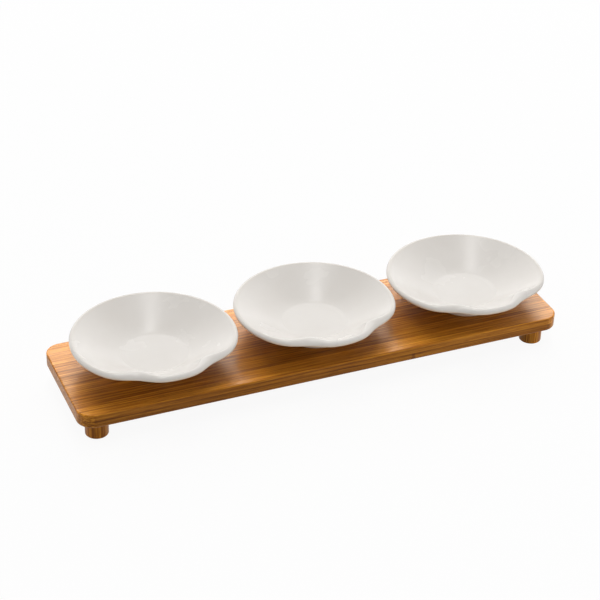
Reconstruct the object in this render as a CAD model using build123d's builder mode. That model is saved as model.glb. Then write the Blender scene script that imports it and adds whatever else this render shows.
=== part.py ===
from build123d import *
import math
import os

# A chip and dip server: three pouring dishes that stand loose on a bamboo tray.
# Sizes are in millimetres. X runs along the tray, Y to the back and Z up from the table.

# The tray board is two plies, each of strips glued edge to edge.
BOARD_LENGTH = 390.0
BOARD_WIDTH = 100.0
PLY_THICKNESS = 5.6
STRIP_COUNT = 7
CORNER_RADIUS = 12.5
TOP_EDGE_ROUND = 1.0
BOTTOM_EDGE_ROUND = 1.6

# The four feet are dowels glued into sockets that go through the lower ply.
FOOT_DIAMETER = 17.4
FOOT_CLEAR_HEIGHT = 15.5
FOOT_INSET = 16.0
FOOT_EDGE_ROUND = 1.0
GLUE_GAP = 0.15

# Each dish is round, with a foot ring under its floor and a thick rounded rim.
DISH_DIAMETER = 125.0
DISH_HEIGHT = 25.5
RIM_THICKNESS = 4.6
RIM_LEAN = 40.0
OUTER_WALL_CURVE = 1.1
INNER_WALL_CURVE = 1.25
FLOOR_RADIUS = 25.0
FLOOR_THICKNESS = 5.2
FOOT_RING_RADIUS = 25.0
FOOT_RING_WIDTH = 4.5
FOOT_RING_HEIGHT = 4.6
FOOT_RING_ROUND = 0.8
FOOT_RING_STEP = 2.0

# Its front wall is pressed in and pinched twice, which leaves a low spout between the pinches.
# The pinches go deeper inside than outside, so the rim swells there.
# Spreads are in degrees round the dish. The higher a fade, the nearer to the rim its press stays.
FRONT_PRESS = 7.4
FRONT_SPREAD = 33.0
FRONT_FADE = 0.5
PINCH_DEPTH_OUTSIDE = 4.3
PINCH_DEPTH_INSIDE = 8.6
PINCH_ANGLE = 33.0
PINCH_SPREAD = 9.75
PINCH_FADE = 2.0
SPOUT_DROP = 1.5

# The dishes stand in a row, set a little to the right and the front of the board's centre.
# None of their spouts points quite straight ahead, because they were put down by hand.
DISH_GAP = 3.85
ROW_SHIFT_X = 5.3
ROW_SHIFT_Y = -2.0
LEFT_DISH_TURN = 1.2
MIDDLE_DISH_TURN = 5.3
RIGHT_DISH_TURN = -1.0

board_bottom = FOOT_CLEAR_HEIGHT
ply_joint = board_bottom + PLY_THICKNESS
board_top = ply_joint + PLY_THICKNESS
strip_width = BOARD_WIDTH / STRIP_COUNT
foot_x = BOARD_LENGTH / 2 - FOOT_INSET
foot_y = BOARD_WIDTH / 2 - FOOT_INSET
foot_spots = {
    "front_left_foot": (-foot_x, -foot_y),
    "front_right_foot": (foot_x, -foot_y),
    "back_left_foot": (-foot_x, foot_y),
    "back_right_foot": (foot_x, foot_y),
}
dish_pitch = DISH_DIAMETER + DISH_GAP
dish_spots = {
    "left_dish": (ROW_SHIFT_X - dish_pitch, LEFT_DISH_TURN),
    "middle_dish": (ROW_SHIFT_X, MIDDLE_DISH_TURN),
    "right_dish": (ROW_SHIFT_X + dish_pitch, RIGHT_DISH_TURN),
}

# How finely the dish's skin is laid out: steps up a wall, steps over the rim, degrees round the dish.
WALL_STEPS = 14
RIM_STEPS = 8
TURN_STEP = 5

os.makedirs("parts", exist_ok=True)


def swell(angle, spread):
    """A smooth hump of height 1 at angle 0."""
    return math.exp(-((angle / spread) ** 2) / 2)


def wall_points(low, high, curve, pinch_depth):
    """Stations up a curved wall, from its foot to just below its top."""
    shares = [step / WALL_STEPS for step in range(WALL_STEPS)]
    radii = [low[0] + (high[0] - low[0]) * share for share in shares]
    heights = [low[1] + (high[1] - low[1]) * share**curve for share in shares]
    return [(radius, height, share, pinch_depth) for radius, height, share in zip(radii, heights, shares)]


def rim_points():
    """Stations over the half round rim, from its outer side to its inner side."""
    stations = []
    for step in range(RIM_STEPS + 1):
        share = step / RIM_STEPS
        around = math.radians(RIM_LEAN - 90 + 180 * share)
        radius = DISH_DIAMETER / 2 - RIM_THICKNESS / 2 * (1 - math.cos(around))
        height = DISH_HEIGHT - RIM_THICKNESS / 2 * (1 - math.sin(around))
        pinch_depth = PINCH_DEPTH_OUTSIDE + (PINCH_DEPTH_INSIDE - PINCH_DEPTH_OUTSIDE) * share
        stations.append((radius, height, 1.0, pinch_depth))
    return stations


def skin_point(station, angle):
    """A point of the dish's skin, at an angle from the middle of the spout at the front."""
    radius, height, share, pinch_depth = station
    front = swell(angle, FRONT_SPREAD)
    pinches = swell(angle - PINCH_ANGLE, PINCH_SPREAD) + swell(angle + PINCH_ANGLE, PINCH_SPREAD)
    radius -= FRONT_PRESS * front * share**FRONT_FADE
    radius -= pinch_depth * pinches * share**PINCH_FADE
    height -= SPOUT_DROP * front * share**PINCH_FADE
    turn = math.radians(angle)
    return Vector(radius * math.sin(turn), -radius * math.cos(turn), height)


# The profile of a dish goes up the outer wall, over the rim and down the inner wall.
# Each of its stations is a radius, a height, a share of the way up the wall and a pinch depth.
floor_height = FOOT_RING_HEIGHT + FLOOR_THICKNESS
base_radius = FOOT_RING_RADIUS + FOOT_RING_STEP
rim = rim_points()
outer_wall = wall_points((base_radius, FOOT_RING_HEIGHT), rim[0], OUTER_WALL_CURVE, PINCH_DEPTH_OUTSIDE)
inner_wall = wall_points((FLOOR_RADIUS, floor_height), rim[-1], INNER_WALL_CURVE, PINCH_DEPTH_INSIDE)
profile = outer_wall + rim + inner_wall[::-1]

# The profile carried round the dish, and pinched at the spout, gives its skin.
turns = range(-180, 181, TURN_STEP)
skin_grid = [[skin_point(station, angle) for station in profile] for angle in turns]
skin = Face.make_surface_from_array_of_points(skin_grid, tol=0.01, min_deg=3, max_deg=3)
ends = skin.edges().filter_by(lambda edge: edge.is_closed)
base_and_floor = [Face(Wire([end])) for end in ends]

# Dish: the skin closed by its floor and its base, on a foot ring.
with BuildPart() as dish:
    add(Solid(Shell([skin, *base_and_floor])))
    with BuildSketch():
        Circle(FOOT_RING_RADIUS)
        Circle(FOOT_RING_RADIUS - FOOT_RING_WIDTH, mode=Mode.SUBTRACT)
    extrude(amount=FOOT_RING_HEIGHT + FLOOR_THICKNESS / 2)
    fillet(dish.edges().group_by(Axis.Z)[0], FOOT_RING_ROUND)

for name, (spot, turn) in dish_spots.items():
    with BuildPart() as placed_dish:
        with Locations(Location((spot, ROW_SHIFT_Y, board_top), (0, 0, turn))):
            add(dish.part)
    placed_dish.part.label = name
    export_step(placed_dish.part, f"parts/{name}.step")

# Upper ply: the board's outline with a lightly eased top edge.
with BuildPart() as upper_ply:
    with BuildSketch(Plane.XY.offset(ply_joint)):
        RectangleRounded(BOARD_LENGTH, BOARD_WIDTH, CORNER_RADIUS)
    extrude(amount=PLY_THICKNESS)
    fillet(upper_ply.edges().group_by(Axis.Z)[-1], TOP_EDGE_ROUND)

# Lower ply: the same outline with a rounder bottom edge and the sockets for the feet.
with BuildPart() as lower_ply:
    with BuildSketch(Plane.XY.offset(board_bottom)):
        RectangleRounded(BOARD_LENGTH, BOARD_WIDTH, CORNER_RADIUS)
    extrude(amount=PLY_THICKNESS)
    fillet(lower_ply.edges().group_by(Axis.Z)[0], BOTTOM_EDGE_ROUND)
    with BuildSketch(Plane.XY.offset(board_bottom)):
        with Locations(*foot_spots.values()):
            Circle(FOOT_DIAMETER / 2 + GLUE_GAP)
    extrude(amount=PLY_THICKNESS, mode=Mode.SUBTRACT)

# Each ply is sawn into its strips, counted from the front of the tray.
for ply_name, ply in (("upper", upper_ply), ("lower", lower_ply)):
    for number in range(STRIP_COUNT):
        strip_y = (number + 0.5) * strip_width - BOARD_WIDTH / 2
        with BuildPart() as strip:
            add(ply.part)
            with Locations((0, strip_y, ply_joint)):
                Box(BOARD_LENGTH, strip_width, 2 * PLY_THICKNESS, mode=Mode.INTERSECT)
        strip.part.label = f"{ply_name}_strip_{number + 1}"
        export_step(strip.part, f"parts/{strip.part.label}.step")

# Each foot stands on the table and reaches through the lower ply to the upper one.
for name, spot in foot_spots.items():
    with BuildPart() as foot:
        with BuildSketch():
            with Locations(spot):
                Circle(FOOT_DIAMETER / 2)
        extrude(amount=ply_joint)
        fillet(foot.edges().group_by(Axis.Z)[0], FOOT_EDGE_ROUND)
    foot.part.label = name
    export_step(foot.part, f"parts/{name}.step")
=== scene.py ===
import math

import bpy
from mathutils import Matrix, Vector


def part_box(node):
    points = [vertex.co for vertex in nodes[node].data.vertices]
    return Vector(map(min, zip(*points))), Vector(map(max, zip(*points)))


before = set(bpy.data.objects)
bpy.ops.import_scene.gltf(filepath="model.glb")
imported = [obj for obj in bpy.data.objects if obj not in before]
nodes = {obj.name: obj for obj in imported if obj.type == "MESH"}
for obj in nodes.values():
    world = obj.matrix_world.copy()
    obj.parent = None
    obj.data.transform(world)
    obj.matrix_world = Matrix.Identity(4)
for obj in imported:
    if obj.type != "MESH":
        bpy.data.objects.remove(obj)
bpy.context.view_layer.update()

# Lengths are in metres, apart from the camera's lens and sensor, which are in millimetres.
# Angles are in degrees. Azimuth 0 is straight in front of the tray, and 90 is on its right.
# The camera stands in front of the tray and to its left, and looks down on it.
CAMERA_AZIMUTH = -23.71
CAMERA_ELEVATION = 31.76
CAMERA_ROLL = 1.77
CAMERA_DISTANCE = 1.4058
CAMERA_TARGET = (0.02647, 0.07530, 0.0051)
CAMERA_LENS = 103.68
CAMERA_SENSOR = 36.0

# Light levels are radiances, where 1 is as bright as a white background.
AMBIENT_AZIMUTH = 225.0
AMBIENT_BACK = 0.52
AMBIENT_FRONT = 0.2
BACK_BOX_LEVEL = 1.0
TOP_BOX_LEVEL = 9.5
GLARE_BOX_LEVEL = 9.0
WOOD_BOX_LEVEL = 7.0
SIDE_BOX_LEVEL = 2.6
FRONT_BOX_LEVEL = 3.2
LEFT_BOX_LEVEL = 4.0
# Each lamp faces one of these points.
TRAY_MIDDLE = (0.0, 0.0, 0.03)
TRAY_RIGHT = (0.15, 0.0, 0.03)

WHITE = (1.0, 1.0, 1.0, 1.0)
FLOOR_SIZE = 8.0
FLOOR_COLOUR = (0.75, 0.75, 0.75, 1.0)
FLOOR_GLOW = 0.93

# Places on the board come from the frame, apart from the radius of its corners.
middle_strip_low, middle_strip_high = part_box("upper_strip_4")
BOARD_HALF_LENGTH = middle_strip_high.x
BOARD_HALF_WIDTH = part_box("upper_strip_7")[1].y
BOARD_CORNER = 0.0125
BOARD_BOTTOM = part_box("lower_strip_4")[0].z
PLY_JOINT = middle_strip_low.z
BOARD_TOP = middle_strip_high.z
STRIP_WIDTH = middle_strip_high.y - middle_strip_low.y

# Bamboo goes from dark to light by three noises: the scale of each, and its share of the mix.
BAMBOO_STOPS = (
    (0.4, (0.17, 0.05, 0.003)),
    (0.5, (0.35, 0.125, 0.009)),
    (0.6, (0.53, 0.22, 0.022)),
)
BAND_SCALE, BAND_SHARE = 170.0, 0.18
STREAK_SCALE, STREAK_SHARE = 640.0, 0.5
FIBRE_SCALE, FIBRE_SHARE = 2100.0, 0.32
# The scales of the noises that break up its marks.
DASH_SCALE = 1500.0
END_SPOT_SCALE = 1900.0
VEIN_AND_SHEEN_WANDER_SCALE = 90.0
KNOT_SCALE = 220.0
WEAR_SCALE = 300.0
# A pattern is this many times as long as it is wide.
GRAIN_STRETCH = 60.0
DASH_STRETCH = 16.0
# Pieces of wood differ in tone by turns, and each takes its grain from a place of its own.
WOOD_TONES = (1.0, 0.93, 1.06, 0.97)
GRAIN_STEP = (0.013, 0.37, 0.0)

# What marks on the wood multiply its colour by, and how far from their middle they reach.
DASH_TINT = (0.6, 0.5, 0.4)
END_GRAIN_TINT = (0.5, 0.36, 0.25)
GLUE_TINT, GLUE_REACH = (0.4, 0.3, 0.22), 0.0005
SEAM_TINT, SEAM_REACH = (0.45, 0.34, 0.25), 0.0003
KNOT_TINT, KNOT_REACH, KNOT_WOBBLE = (0.34, 0.22, 0.14), 0.0022, 0.003
VEIN_AND_SHEEN_HUE, VEIN_AND_SHEEN_REACH, VEIN_AND_SHEEN_WOBBLE = (1.0, 0.95, 0.9), 0.0005, 0.0012
# Edges are worn paler and rougher, and that fades out between these distances from the edge.
WORN_TINT, WORN_ROUGHNESS = (1.2, 1.22, 1.4), 0.2
WORN_FROM, WORN_TO = 0.0004, 0.0018
# The varnish shines golden, and the fibres can be felt through it.
WOOD_GLOSS_TINT = (1.0, 0.68, 0.36, 1.0)
FIBRE_RELIEF = 0.5

# Veins and a sheen line on the board's top: where each runs, and how dark or light it is. The dark ones
# are veins, and the light one is a painted highlight.
VEINS_AND_SHEEN_LINE = {
    "upper_strip_1": (-0.043, 0.55),
    # A painted highlight: this light line stands for a line of sheen on the varnish.
    "upper_strip_2": (-0.026, 1.3),
    "upper_strip_5": (0.012, 0.5),
}
# Bamboo nodes: how far along the tray each strip has its dark ring.
KNOTS = {
    "lower_strip_1": 0.0672,
    "lower_strip_4": -0.06,
    "upper_strip_4": -0.118,
    "upper_strip_6": 0.012,
}

# The glaze is between two whites, and these are what its bare foot, its painted bounce light and its
# high places multiply it by.
GLAZE_STOPS = ((0.3, (0.862, 0.82, 0.768)), (0.7, (0.897, 0.86, 0.812)))
BARE_FOOT_TINT = (0.72, 0.6, 0.46)
# Painted light: a warm tint that stands for the wood's light bouncing onto the dishes' outer walls.
PAINTED_BOUNCE_TINT = (1.0, 0.87, 0.7)
CREST_TINT = (0.97, 0.95, 0.92)
# It is cloudy and a little rippled, and the bare foot is rougher.
BARE_ROUGHNESS = 0.5
CLOUD_SCALE = 28.0
RIPPLE_SCALE, RIPPLE_RELIEF = 160.0, 0.06
# Heights are above the board, and radii are from a dish's axis.
BARE_FOOT_FROM, BARE_FOOT_TO = 0.0006, 0.0011
CREST_FROM, CREST_TO = 0.0243, 0.0255
RING_RADII = (0.0215, 0.0246)
RING_REACH, RING_RELIEF = 0.0012, 0.3
# The part of a dish's foot ring that touches the board is no higher than this.
FOOT_CONTACT = 0.0001


def is_dish(name):
    """Whether a node is a dish. All others are wood."""
    return name.endswith("_dish")


def direction(azimuth, elevation):
    """The unit vector from the object to a place seen at an azimuth and an elevation."""
    turn, rise = math.radians(azimuth), math.radians(elevation)
    level = math.cos(rise)
    return Vector((math.sin(turn) * level, -math.cos(turn) * level, math.sin(rise)))


def set_sockets(tree, node, sockets):
    """Links a shader node's input sockets, or sets them to values."""
    for key, value in sockets.items():
        if isinstance(value, bpy.types.NodeSocket):
            tree.links.new(value, node.inputs[key])
        else:
            node.inputs[key].default_value = value


def add(tree, kind, sockets=None, **settings):
    """Adds a shader node, sets its properties, and sets or links its input sockets."""
    made = tree.nodes.new("ShaderNode" + kind)
    for name, value in settings.items():
        setattr(made, name, value)
    set_sockets(tree, made, sockets or {})
    return made


def math_node(tree, operation, first, second=0.0, third=0.0):
    """The result of a sum on sockets or numbers."""
    return add(tree, "Math", {0: first, 1: second, 2: third}, operation=operation).outputs[0]


def remap(tree, value, low, high, to_low=0.0, to_high=1.0):
    """A smooth step from one value to another."""
    sockets = {
        "Value": value,
        "From Min": low,
        "From Max": high,
        "To Min": to_low,
        "To Max": to_high,
    }
    return add(tree, "MapRange", sockets, interpolation_type="SMOOTHSTEP").outputs["Result"]


def near(tree, value, place, reach, strength=1.0):
    """A mask around one value, from its strength in the middle smoothly down to 0 at its reach."""
    core = reach * 0.3
    away = math_node(tree, "ABSOLUTE", math_node(tree, "SUBTRACT", value, place))
    return remap(tree, away, core, reach, to_low=strength, to_high=0.0)


def tint(tree, mask, colour, change):
    """A colour multiplied by another one under a mask."""
    sockets = {0: mask, 6: colour, 7: (*change, 1.0)}
    return add(tree, "Mix", sockets, data_type="RGBA", blend_type="MULTIPLY").outputs[2]


def noise(tree, vector, scale, detail=2.0, roughness=0.5):
    """A noise pattern from 0 to 1."""
    sockets = {"Vector": vector, "Scale": scale, "Detail": detail, "Roughness": roughness}
    return add(tree, "TexNoise", sockets).outputs["Fac"]


def ramp(tree, factor, stops):
    """A colour ramp with its stops given as (position, colour)."""
    made = add(tree, "ValToRGB", {"Fac": factor})
    elements = made.color_ramp.elements
    while len(elements) < len(stops):
        elements.new(0.5)
    for element, (position, colour) in zip(elements, stops):
        element.position = position
        element.color = (*colour, 1.0)
    return made.outputs["Color"]


def flat_length(tree, x, y):
    """The length of a flat vector."""
    square = math_node(tree, "MULTIPLY_ADD", x, x, math_node(tree, "MULTIPLY", y, y))
    return math_node(tree, "SQRT", square)


def split(tree, vector):
    """The X, Y and Z of a vector."""
    return add(tree, "SeparateXYZ", {"Vector": vector}).outputs


def surface_normal(tree):
    """The X, Y and Z of the surface's normal."""
    return split(tree, add(tree, "NewGeometry").outputs["Normal"])


def bump(tree, relief, strength, depth):
    """A normal disturbed by a fine relief."""
    sockets = {"Height": relief, "Strength": strength, "Distance": depth}
    return add(tree, "Bump", sockets).outputs["Normal"]


def new_material(name):
    """A material, its node tree and its shader."""
    material = bpy.data.materials.new(name)
    material.use_nodes = True
    tree = material.node_tree
    return material, tree, tree.nodes["Principled BSDF"]


def drawn_out(tree, place, along, shift, stretch):
    """Coordinates in which a pattern is drawn out along one axis."""
    scale = [1.0, 1.0, 1.0]
    scale["XYZ".index(along)] = 1 / stretch
    return add(tree, "Mapping", {"Vector": place, "Location": shift, "Scale": scale}).outputs[0]


def grain_colour(tree, bands, streaks, fibres, tone):
    """The colour of bamboo along its fibres."""
    mixed = math_node(tree, "MULTIPLY", bands, BAND_SHARE)
    mixed = math_node(tree, "MULTIPLY_ADD", streaks, STREAK_SHARE, mixed)
    mixed = math_node(tree, "MULTIPLY_ADD", fibres, FIBRE_SHARE, mixed)
    stops = [(position, [part * tone for part in colour]) for position, colour in BAMBOO_STOPS]
    return ramp(tree, mixed, stops)


def end_grain(tree, colour, place):
    """Dark spots where the fibres are cut, at the two ends of the board."""
    ends = remap(tree, math_node(tree, "ABSOLUTE", surface_normal(tree)["X"]), low=0.5, high=0.9)
    cut_fibres = noise(tree, place, END_SPOT_SCALE, detail=1.0)
    spots = remap(tree, cut_fibres, low=0.52, high=0.66, to_high=0.7)
    return tint(tree, math_node(tree, "MULTIPLY", ends, spots), colour, END_GRAIN_TINT)


def glue_lines(tree, colour, y, z):
    """A dark line between the two plies, and fainter ones between strips."""
    colour = tint(tree, near(tree, z, PLY_JOINT, GLUE_REACH, strength=0.6), colour, GLUE_TINT)
    from_front = math_node(tree, "ADD", y, BOARD_HALF_WIDTH)
    from_seam = math_node(tree, "PINGPONG", from_front, STRIP_WIDTH / 2)
    return tint(tree, near(tree, from_seam, 0.0, SEAM_REACH, strength=0.4), colour, SEAM_TINT)


def edge_distance(tree, x, y, z):
    """How far a point of the board's surface is from the nearest of the board's edges."""
    straight_x = BOARD_HALF_LENGTH - BOARD_CORNER
    straight_y = BOARD_HALF_WIDTH - BOARD_CORNER
    past_x = math_node(tree, "SUBTRACT", math_node(tree, "ABSOLUTE", x), straight_x)
    past_y = math_node(tree, "SUBTRACT", math_node(tree, "ABSOLUTE", y), straight_y)
    past_x = math_node(tree, "MAXIMUM", past_x, 0.0)
    past_y = math_node(tree, "MAXIMUM", past_y, 0.0)
    inside = math_node(tree, "SUBTRACT", BOARD_CORNER, flat_length(tree, past_x, past_y))
    above = math_node(tree, "SUBTRACT", z, BOARD_BOTTOM)
    below = math_node(tree, "SUBTRACT", BOARD_TOP, z)
    return math_node(tree, "MAXIMUM", inside, math_node(tree, "MINIMUM", above, below))


def vein_and_sheen_line(tree, colour, grain, y, line, strength):
    """One line that wanders a little on its way along the board: a dark vein where it darkens, and a
    painted highlight where it lightens.
    """
    wander = noise(tree, grain, VEIN_AND_SHEEN_WANDER_SCALE, detail=1.0)
    bend = math_node(tree, "MULTIPLY_ADD", wander, VEIN_AND_SHEEN_WOBBLE, line - VEIN_AND_SHEEN_WOBBLE / 2)
    change = [strength * part for part in VEIN_AND_SHEEN_HUE]
    return tint(tree, near(tree, y, bend, VEIN_AND_SHEEN_REACH, strength=0.8), colour, change)


def knot(tree, colour, place, x, along):
    """The dark, uneven ring of a bamboo node."""
    uneven = math_node(tree, "MULTIPLY_ADD", noise(tree, place, KNOT_SCALE), KNOT_WOBBLE, x)
    ring = near(tree, uneven, along + KNOT_WOBBLE / 2, KNOT_REACH, strength=0.7)
    return tint(tree, ring, colour, KNOT_TINT)


def bamboo(name, along, tone, shift):
    """Varnished bamboo with its grain along an axis."""
    material, tree, shader = new_material(name)
    place = add(tree, "TexCoord").outputs["Object"]
    x, y, z = split(tree, place)
    grain = drawn_out(tree, place, along, shift, GRAIN_STRETCH)
    bands = noise(tree, grain, BAND_SCALE, detail=1.0)
    streaks = noise(tree, grain, STREAK_SCALE, roughness=0.6)
    fibres = noise(tree, grain, FIBRE_SCALE, roughness=0.6)
    colour = grain_colour(tree, bands, streaks, fibres, tone)
    short = drawn_out(tree, place, along, shift, DASH_STRETCH)
    dashes = remap(tree, noise(tree, short, DASH_SCALE, detail=1.0), low=0.56, high=0.68, to_high=0.6)
    colour = tint(tree, dashes, colour, DASH_TINT)
    if along == "X":
        colour = end_grain(tree, colour, place)
        colour = glue_lines(tree, colour, y, z)
        edge = edge_distance(tree, x, y, z)
    else:
        edge = z
    by_edge = remap(tree, edge, WORN_FROM, WORN_TO, to_low=1.0, to_high=0.0)
    worn = math_node(tree, "MULTIPLY", by_edge, noise(tree, place, WEAR_SCALE, detail=3.0))
    colour = tint(tree, worn, colour, WORN_TINT)
    # Dark veins, and one light line that is a painted highlight.
    if name in VEINS_AND_SHEEN_LINE:
        colour = vein_and_sheen_line(tree, colour, grain, y, *VEINS_AND_SHEEN_LINE[name])
    if name in KNOTS:
        colour = knot(tree, colour, place, x, KNOTS[name])
    gloss = remap(tree, streaks, low=0.3, high=0.7, to_low=0.42, to_high=0.3)
    relief = math_node(tree, "MULTIPLY_ADD", fibres, FIBRE_RELIEF, streaks)
    set_sockets(tree, shader, {
        "Base Color": colour,
        "Roughness": math_node(tree, "MULTIPLY_ADD", worn, WORN_ROUGHNESS, gloss),
        "Specular IOR Level": 0.3,
        "Specular Tint": WOOD_GLOSS_TINT,
        "Normal": bump(tree, relief, strength=0.15, depth=0.0003),
    })
    return material


def dish_axis(name):
    """Where a dish's axis meets the board: the middle of its round foot ring."""
    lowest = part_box(name)[0].z
    points = [vertex.co for vertex in nodes[name].data.vertices]
    ring = [point for point in points if point.z < lowest + FOOT_CONTACT]
    across = [point.x for point in ring]
    deep = [point.y for point in ring]
    return (min(across) + max(across)) / 2, (min(deep) + max(deep)) / 2, lowest


def glaze(name, axis):
    """Satin white glaze over buff stoneware, with the rings left by turning on the dish's floor."""
    material, tree, shader = new_material(name)
    place = add(tree, "TexCoord").outputs["Object"]
    offset = add(tree, "VectorMath", {0: place, 1: axis}, operation="SUBTRACT").outputs[0]
    x, y, height = split(tree, offset)
    radius = flat_length(tree, x, y)
    cloud = noise(tree, place, CLOUD_SCALE, detail=3.0)
    colour = ramp(tree, cloud, GLAZE_STOPS)
    bare = remap(tree, height, BARE_FOOT_FROM, BARE_FOOT_TO, to_low=1.0, to_high=0.0)
    colour = tint(tree, bare, colour, BARE_FOOT_TINT)
    # Painted light: walls that face sideways or down are tinted warm, as if lit by light bounced off
    # the wood.
    painted_bounce = remap(tree, surface_normal(tree)["Z"], low=-0.6, high=0.5, to_low=1.0, to_high=0.0)
    colour = tint(tree, painted_bounce, colour, PAINTED_BOUNCE_TINT)
    crest = remap(tree, height, CREST_FROM, CREST_TO, to_high=0.5)
    colour = tint(tree, crest, colour, CREST_TINT)
    gloss = remap(tree, cloud, low=0.3, high=0.7, to_low=0.23, to_high=0.28)
    ripple = math_node(tree, "MULTIPLY", noise(tree, place, RIPPLE_SCALE), RIPPLE_RELIEF)
    inner_ring, outer_ring = [near(tree, radius, ring, RING_REACH) for ring in RING_RADII]
    rings = math_node(tree, "ADD", inner_ring, outer_ring)
    relief = math_node(tree, "MULTIPLY_ADD", rings, RING_RELIEF, ripple)
    set_sockets(tree, shader, {
        "Base Color": colour,
        "Roughness": math_node(tree, "MULTIPLY_ADD", bare, BARE_ROUGHNESS, gloss),
        "Specular IOR Level": 0.4,
        "Normal": bump(tree, relief, strength=0.12, depth=0.0005),
    })
    return material


def set_material(name, material):
    """Gives a node one material."""
    slots = nodes[name].data.materials
    slots.clear()
    slots.append(material)


def light_path(tree):
    """1 for rays that show the background: straight, mirrored or through glass."""
    path = add(tree, "LightPath").outputs
    seen = math_node(tree, "MAXIMUM", path["Is Camera Ray"], path["Is Glossy Ray"])
    return math_node(tree, "MAXIMUM", seen, path["Is Transmission Ray"])


def make_world():
    """White where it is seen. Its light is stronger from the back left than from the front right."""
    world = bpy.data.worlds.new("studio")
    world.use_nodes = True
    tree = world.node_tree
    toward = add(tree, "TexCoord").outputs["Generated"]
    sockets = {0: toward, 1: direction(AMBIENT_AZIMUTH, 0)}
    facing = add(tree, "VectorMath", sockets, operation="DOT_PRODUCT").outputs["Value"]
    ambient = remap(tree, facing, low=-1.0, high=1.0, to_low=AMBIENT_FRONT, to_high=AMBIENT_BACK)
    level = remap(tree, light_path(tree), low=0.0, high=1.0, to_low=ambient, to_high=1.0)
    set_sockets(tree, tree.nodes["Background"], {"Color": WHITE, "Strength": level})
    bpy.context.scene.world = world


def make_floor():
    """A pale floor that is white where it is seen, apart from the object's soft shadow."""
    mesh = bpy.data.meshes.new("floor")
    half = FLOOR_SIZE / 2
    corners = [(-half, -half, 0), (half, -half, 0), (half, half, 0), (-half, half, 0)]
    mesh.from_pydata(corners, [], [(0, 1, 2, 3)])
    floor = bpy.data.objects.new("floor", mesh)
    bpy.context.scene.collection.objects.link(floor)
    material, tree, shader = new_material("floor")
    dull = {"Base Color": FLOOR_COLOUR, "Roughness": 0.9, "Specular IOR Level": 0.0}
    set_sockets(tree, shader, dull)
    paper = add(tree, "BsdfDiffuse", {"Color": WHITE})
    glow = add(tree, "Emission", {"Color": WHITE, "Strength": 1.0})
    seen = add(tree, "MixShader", {0: FLOOR_GLOW, 1: paper.outputs[0], 2: glow.outputs[0]})
    mixed = add(tree, "MixShader", {0: light_path(tree), 1: shader.outputs[0], 2: seen.outputs[0]})
    tree.links.new(mixed.outputs[0], tree.nodes["Material Output"].inputs["Surface"])
    mesh.materials.append(material)


def softbox(name, level, azimuth, elevation, distance, width, height, aim=TRAY_MIDDLE):
    """A rectangular lamp of an even radiance that faces a point of the tray."""
    lamp = bpy.data.lights.new(name, "AREA")
    lamp.shape = "RECTANGLE"
    lamp.size, lamp.size_y = width, height
    lamp.energy = level * math.pi * width * height
    box = bpy.data.objects.new(name, lamp)
    bpy.context.scene.collection.objects.link(box)
    away = direction(azimuth, elevation) * distance
    box.location = Vector(aim) + away
    box.rotation_euler = (-away).to_track_quat("-Z", "Y").to_euler()
    box.visible_camera = False
    return box


def make_lights():
    """A wide box behind the tray, a narrow strip above it and a box in front light everything.

    Four more light the wood alone. One of them shows only in its varnish, and three only in its colour.
    """
    softbox(
        "back_box", BACK_BOX_LEVEL,
        azimuth=CAMERA_AZIMUTH + 180, elevation=32, distance=2.5, width=4.2, height=2.6,
    )
    softbox(
        "top_box", TOP_BOX_LEVEL,
        azimuth=CAMERA_AZIMUTH, elevation=88, distance=5.0, width=0.47, height=5.6,
    )
    glare_box = softbox(
        "glare_box", GLARE_BOX_LEVEL,
        azimuth=158, elevation=33, distance=2.5, width=2.2, height=0.7,
    )
    wood_box = softbox(
        "wood_box", WOOD_BOX_LEVEL,
        azimuth=165, elevation=48, distance=2.5, width=3.0, height=1.4,
    )
    side_box = softbox(
        "side_box", SIDE_BOX_LEVEL,
        azimuth=45, elevation=10.3, distance=0.503, width=0.5, height=0.24, aim=TRAY_RIGHT,
    )
    softbox(
        "front_box", FRONT_BOX_LEVEL,
        azimuth=50, elevation=10, distance=2.5, width=1.4, height=0.7,
    )
    left_box = softbox(
        "left_box", LEFT_BOX_LEVEL,
        azimuth=-110, elevation=15, distance=2.0, width=1.2, height=0.8,
    )
    wood = bpy.data.collections.new("wood")
    for name, node in nodes.items():
        if not is_dish(name):
            wood.objects.link(node)
    for box in (glare_box, wood_box, side_box, left_box):
        box.light_linking.receiver_collection = wood
    glare_box.visible_diffuse = False
    for box in (wood_box, side_box, left_box):
        box.visible_glossy = False


def make_camera():
    """The camera at the photograph's angle, with its small roll."""
    data = bpy.data.cameras.new("camera")
    data.lens = CAMERA_LENS
    data.sensor_width = CAMERA_SENSOR
    camera = bpy.data.objects.new("camera", data)
    bpy.context.scene.collection.objects.link(camera)
    back = direction(CAMERA_AZIMUTH, CAMERA_ELEVATION)
    right = Vector((0, 0, 1)).cross(back).normalized()
    up = back.cross(right)
    level_axes = Matrix((right, up, back)).transposed()
    axes = level_axes @ Matrix.Rotation(math.radians(CAMERA_ROLL), 3, "Z")
    place = Vector(CAMERA_TARGET) + back * CAMERA_DISTANCE
    camera.matrix_world = Matrix.LocRotScale(place, axes, None)
    bpy.context.scene.camera = camera


def dress_nodes():
    """Gives each dish its glaze, and each strip and foot bamboo of its own."""
    for count, name in enumerate(sorted(nodes)):
        if is_dish(name):
            set_material(name, glaze(f"glaze_{name}", dish_axis(name)))
        else:
            along = "X" if "strip" in name else "Z"
            tone = WOOD_TONES[count % len(WOOD_TONES)]
            shift = [step * count for step in GRAIN_STEP]
            set_material(name, bamboo(name, along, tone, shift))


dress_nodes()
make_world()
make_floor()
make_camera()
make_lights()
bpy.context.scene.view_settings.view_transform = "Standard"
